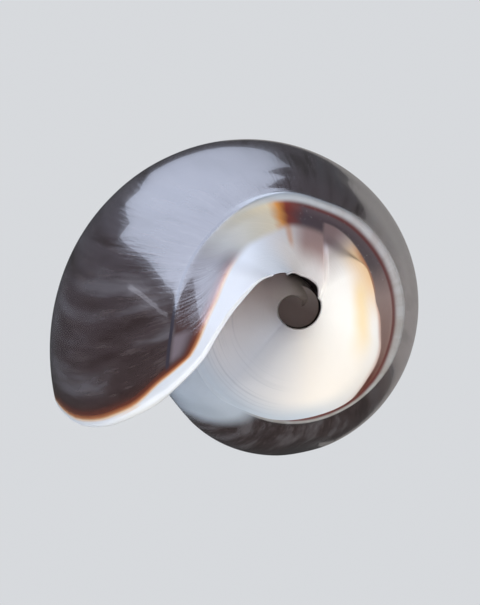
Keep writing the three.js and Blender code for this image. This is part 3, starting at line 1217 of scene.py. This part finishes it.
@dataclass(frozen=True)
class ShellEnamel:
    """Glossy enamel: dark grown body, pale lip and callus, speckled band between ridge and callus."""

    name: str = "shell_enamel"
    roughness: float = 0.1
    roughness_grain: float = 0.1
    satin_roughness: float = 0.3
    coat: float = 0.5
    satin_coat: float = 0.05
    coat_roughness: float = 0.04
    bend: float = 1.55
    relief: float = 0.008 * MM

    def build(self) -> bpy.types.Material:
        """Lay the material's nodes.

        Returns:
            The new material.
        """
        finish = bpy.data.materials.new(self.name)
        bench = NodeBench.clear(finish)
        turn, along_tip = self.read(bench, CoilMap.COIL)
        white, rim = self.read(bench, CoilMap.EDGE)
        fold, inner = self.read(bench, CoilMap.FRONT)
        rind, grown = self.read(bench, CoilMap.RIND)
        line = bench.math("MULTIPLY", along_tip, Coil.tip)
        growth = bench.grain(grown, line, (46.0, 0.5))
        fine = bench.grain(grown, line, (260.0, 1.6), 4.0, 0.65)
        threads = bench.grain(turn, line, (3.0, 26.0))
        body = self.body(bench, turn, line, growth, fine)
        band = self.band(bench, turn, line, growth)
        callus = self.callus(bench, turn, line, rind, threads)
        past_fold = bench.step(fold, -0.002, 0.008)
        on_band = bench.step(line, RIDGE_LINE, 6.06)
        on_callus = bench.both(bench.step(rind, -0.03, 0.02), past_fold)
        fringe = bench.run(
            white,
            (-1.5, 62, 46, 45),
            (-0.85, 70, 46, 42),
            (-0.45, 104, 54, 40),
            (-0.23, 178, 114, 74),
            (-0.1, 222, 188, 152),
            (0.06, 222, 223, 224),
        )
        fringed = bench.both(bench.step(white, -1.5, -0.5), bench.step(turn, 0.19, 0.12))
        colour = bench.blend(on_band, body, band)
        colour = bench.blend(fringed, colour, fringe)
        soft = bench.math("MULTIPLY_ADD", bench.step(turn, 0.25, 0.31), 0.5, white)
        pale = bench.both(bench.step(soft, -0.55, 0.3), bench.step(turn, 0.12, 0.17))
        pale = bench.both(pale, bench.step(past_fold, 1.0, 0.5))
        colour = bench.blend(pale, colour, self.notch(bench, turn, line))
        colour = self.ridge(bench, colour, turn, line, growth, white)
        lip_glaze = bench.both(bench.step(inner, -0.02, 0.02), bench.step(line, 1.7, 3.0))
        lip_glaze = bench.both(lip_glaze, bench.step(turn, 1.2, 1.02))
        colour = bench.coat(colour, (196, 205, 214), lip_glaze)
        colour = bench.blend(on_callus, colour, callus)
        inside = bench.run(
            turn,
            (0.0, 228, 226, 224),
            (0.12, 196, 184, 186),
            (0.9, 150, 132, 134),
        )
        colour = bench.blend(bench.step(rim, 0.62, 0.95), colour, inside)
        satin = bench.both(on_band, bench.step(turn, 0.1, 0.16))
        satin = bench.math("MAXIMUM", satin, bench.step(white, -0.3, 0.1))
        self.shade(bench, colour, growth, fine, threads, on_callus, satin)
        return finish

    @staticmethod
    def read(bench: NodeBench, carrier: CoilMap) -> tuple[Socket, Socket]:
        """Two values that the mesh carries.

        Args:
            bench: where the nodes are laid.
            carrier: UV map that holds them.

        Returns:
            The map's two values.
        """
        where = bench.add("UVMap", uv_map=carrier.value).outputs[0]
        parts = bench.add("SeparateXYZ", where)
        return parts.outputs[0], parts.outputs[1]

    @staticmethod
    def body(
        bench: NodeBench, turn: object, line: object, growth: object, fine: object
    ) -> Socket:
        """Dark grown body: tones along the coil, with a paler stretch on the right side that is painted
        sheen, growth bands, a few scratches and a paler suture.

        Args:
            bench: where the nodes are laid.
            turn: turns behind the lip.
            line: mesh line.
            growth: broad growth bands.
            fine: fine growth lines.

        Returns:
            The colour.
        """
        # The paler stretch at turns 0.53 to 0.62 is painted sheen on the right side of the body.
        along = bench.run(
            turn,
            (0.0, 62, 48, 46),
            (0.1, 70, 60, 61),
            (0.2, 88, 82, 86),
            (0.34, 94, 84, 86),
            (0.44, 96, 86, 86),
            (0.53, 132, 119, 117),
            (0.62, 124, 111, 109),
            (0.7, 66, 52, 51),
            (0.85, 60, 50, 50),
            (1.2, 84, 70, 68),
        )
        dark = bench.coat(along, (98, 92, 94), bench.step(growth, 0.46, 0.72))
        dark = bench.coat(dark, (46, 33, 31), bench.step(growth, 0.46, 0.28), 0.65)
        dark = bench.coat(dark, (120, 108, 104), bench.step(fine, 0.5, 0.8), 0.3)
        scratches = bench.step(bench.grain(turn, line, (120.0, 9.0), 4.0, 0.7), 0.66, 0.78)
        worn = bench.span(turn, (0.3, 0.36), (0.5, 0.62))
        dark = bench.coat(dark, (164, 156, 152), scratches, worn, 0.5)
        return bench.coat(dark, (150, 126, 108), bench.step(line, 0.22, 0.03), 0.7)

    @staticmethod
    def band(bench: NodeBench, turn: object, line: object, growth: object) -> Socket:
        """Band between ridge and callus: greyish cream by the notch, then orange, then dark and speckled.

        Args:
            bench: where the nodes are laid.
            turn: turns behind the lip.
            line: mesh line.
            growth: broad growth bands.

        Returns:
            The colour.
        """
        wander = bench.math("MULTIPLY_ADD", growth, 0.014, bench.math("SUBTRACT", turn, 0.007))
        along = bench.run(
            wander,
            (0.0, 118, 106, 110),
            (0.045, 120, 108, 112),
            (0.054, 74, 54, 52),
            (0.085, 70, 54, 54),
            (0.112, 80, 70, 72),
            (0.14, 112, 106, 108),
            (0.175, 160, 157, 150),
            (0.22, 194, 187, 168),
            (0.27, 226, 212, 184),
            (0.287, 218, 150, 76),
            (0.304, 124, 54, 44),
            (0.335, 82, 70, 76),
            (0.5, 88, 78, 80),
            (0.56, 146, 126, 120),
            (0.64, 138, 112, 104),
            (0.69, 104, 58, 48),
        )
        specks = bench.step(bench.grain(turn, line, (230.0, 13.0), 3.0, 0.7), 0.68, 0.76)
        along = bench.coat(along, (190, 186, 186), specks, bench.span(turn, (0.31, 0.34), (0.5, 0.56)))
        red = bench.step(bench.away(line, 6.12), 0.04, 0.012)
        return bench.coat(along, (92, 36, 34), red, bench.step(turn, 0.31, 0.35), 0.8)

    @staticmethod
    def notch(bench: NodeBench, turn: object, line: object) -> Socket:
        """Pale edge of the notch, with an orange streak and a pinkish shade beside the fold.

        Args:
            bench: where the nodes are laid.
            turn: turns behind the lip.
            line: mesh line.

        Returns:
            The colour.
        """
        pale = bench.coat(tone(216, 219, 223), (222, 216, 212), bench.step(turn, 0.2, 0.28))
        pale = bench.coat(pale, (166, 140, 136), bench.step(turn, 0.29, 0.35), bench.step(line, 7.85, 7.05))
        streak = bench.step(bench.away(turn, 0.3), 0.014, 0.0)
        return bench.coat(pale, (206, 142, 92), streak, bench.step(line, 7.4, 7.0), 0.6)

    @staticmethod
    def callus(
        bench: NodeBench, turn: object, line: object, rind: object, threads: object
    ) -> Socket:
        """White callus: warm along its outer edge, threaded as it winds in, with painted shade in three
        places: darker beside the top of the fold, cooler grey where it passes under the lip, and dark in the
        hollow.

        Args:
            bench: where the nodes are laid.
            turn: turns behind the lip.
            line: mesh line.
            rind: lines past the outer edge of the callus.
            threads: spiral threads.

        Returns:
            The colour.
        """
        # Painted shade along the callus: the dip at 0.43 beside the fold, the cool grey at 0.95 under the lip
        # and the dark end at 1.57 in the hollow.
        along = bench.run(
            turn,
            (0.38, 216, 200, 200),
            (0.43, 204, 195, 190),
            (0.5, 252, 248, 240),
            (0.64, 253, 250, 244),
            (0.8, 244, 238, 230),
            (0.95, 214, 216, 222),
            (1.15, 252, 244, 236),
            (1.5, 252, 240, 230),
            (1.57, 184, 160, 152),
        )
        warm = bench.span(turn, (0.41, 0.48), (0.52, 0.63))
        along = bench.coat(along, (250, 208, 152), bench.step(rind, 0.95, 0.1), warm, 0.9)
        gold = bench.step(bench.away(rind, 0.5), 0.32, 0.0)
        along = bench.coat(along, (252, 222, 160), gold, bench.span(turn, (0.5, 0.56), (0.62, 0.72)), 0.7)
        burnt = bench.span(turn, (0.43, 0.48), (0.55, 0.8))
        along = bench.coat(along, (168, 96, 62), bench.step(rind, 0.12, 0.0), burnt, 0.8)
        # Brown-grey where the callus begins beside the top of the fold: painted shade.
        along = bench.coat(along, (140, 119, 119), bench.step(line, 7.15, 6.75), bench.step(turn, 0.47, 0.4))
        along = bench.coat(along, (196, 206, 216), bench.step(rind, 0.45, 0.05), bench.step(turn, 0.68, 0.82))
        lined = bench.both(bench.step(threads, 0.5, 0.75), bench.step(turn, 0.82, 0.92))
        return bench.coat(along, (150, 156, 166), lined, bench.step(line, 7.3, 6.9), 0.3)

    @staticmethod
    def ridge(
        bench: NodeBench, colour: object, turn: object, line: object, growth: object, white: object
    ) -> Socket:
        """Pale cord on the right of the front end, and a fine dark line where it begins.

        Args:
            bench: where the nodes are laid.
            colour: colour so far.
            turn: turns behind the lip.
            line: mesh line.
            growth: broad growth bands.
            white: steps past the edge of the white rim.

        Returns:
            The colour.
        """
        off = bench.away(line, RIDGE_LINE)
        cord = bench.both(bench.step(off, 0.13, 0.06), bench.step(turn, 0.2, 0.3))
        cord_tone = bench.run(
            turn,
            (0.3, 190, 195, 198),
            (0.45, 178, 172, 170),
            (0.6, 158, 154, 150),
        )
        cord_tone = bench.coat(cord_tone, (200, 206, 210), bench.step(growth, 0.3, 0.7), 0.3)
        colour = bench.blend(cord, colour, cord_tone)
        crack = bench.both(bench.step(off, 0.03, 0.01), bench.step(turn, 0.24, 0.18))
        return bench.coat(colour, (58, 54, 62), crack, bench.step(white, -0.4, -1.0))

    def shade(
        self,
        bench: NodeBench,
        colour: object,
        growth: object,
        fine: object,
        threads: object,
        callus: object,
        satin: object,
    ) -> None:
        """Gloss and surface relief.

        Args:
            bench: where the nodes are laid.
            colour: base colour.
            growth: broad growth bands.
            fine: fine growth lines.
            threads: spiral threads of the callus.
            callus: where the callus lies.
            satin: where the gloss is softer.
        """
        lines = bench.math("MULTIPLY_ADD", growth, 1.6, fine)
        height = bench.add("Mix", callus, lines, threads, data_type="FLOAT").outputs[0]
        relief = bench.add("Bump")
        relief.inputs["Strength"].default_value = 1.0
        relief.inputs["Distance"].default_value = self.relief
        bench.feed(relief.inputs["Height"], height)
        dull = bench.math("MULTIPLY_ADD", satin, self.satin_roughness, self.roughness)
        surface = bench.add("BsdfPrincipled")
        bench.feed(surface.inputs["Base Color"], colour)
        bench.feed(surface.inputs["Roughness"], bench.math("MULTIPLY_ADD", fine, self.roughness_grain, dull))
        bench.feed(surface.inputs["Normal"], relief.outputs[0])
        surface.inputs["IOR"].default_value = self.bend
        coat = bench.math("MULTIPLY_ADD", satin, self.satin_coat - self.coat, self.coat)
        bench.feed(surface.inputs["Coat Weight"], coat)
        surface.inputs["Coat Roughness"].default_value = self.coat_roughness
        bench.add("OutputMaterial", surface.outputs[0])


@dataclass
class OliveShell:
    """The whole shell."""

    coil: Coil
    pose: RestPose
    earlier: tuple[tuple[float, int, int, float], ...] = (
        (0.925, 130, 1, 5.5),
        (1.875, 96, 2, 2.0),
        (2.825, 64, 3, 1.0),
        (3.775, 32, 4, 0.5),
    )
    crease: float = 38.0

    def build(self) -> Thing:
        """Join the turns, smooth them and wear the shell flat where it rests.

        Returns:
            The shell.
        """
        coil, pose = self.coil, self.pose
        last = LastTurn(coil, pose).build()
        early = [EarlierTurn(coil, pose, *turn).build() for turn in self.earlier]
        shell = join_solids(last, early + [HollowFloor(coil, pose).build()])
        shell.name = "olive_shell"
        bm = bmesh.new()
        bm.from_mesh(shell.data)
        drop_crumbs(bm)
        geometry = bm.verts[:] + bm.edges[:] + bm.faces[:]
        cut = bmesh.ops.bisect_plane(
            bm, geom=geometry, plane_co=(0, 0, 0), plane_no=(0, 0, 1), clear_inner=True
        )
        rim = [e for e in cut["geom_cut"] if isinstance(e, bmesh.types.BMEdge)]
        bmesh.ops.holes_fill(bm, edges=rim, sides=0)
        for face in bm.faces:
            face.smooth = True
        for edge in bm.edges:
            edge.smooth = edge.calc_face_angle(0.0) < math.radians(self.crease)
        bm.to_mesh(shell.data)
        bm.free()
        return shell

    def dress(self, shell: Thing) -> None:
        """Give the shell its finish.

        Args:
            shell: the joined shell.
        """
        shell.data.materials.clear()
        shell.data.materials.append(ShellEnamel().build())


def main() -> None:
    """Build the shell in its studio and report each piece."""
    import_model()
    pose = RestPose()
    piece = OliveShell(Coil(), pose)
    shell = piece.build()
    piece.dress(shell)
    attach(shell, "root")
    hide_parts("shell")
    LOG.info("%s: %d faces", shell.name, len(shell.data.polygons))
    Studio().build(pose)
    bpy.context.scene.view_settings.view_transform = "Standard"


if __name__ == "__main__":
    logging.basicConfig(level=logging.INFO)
    main()
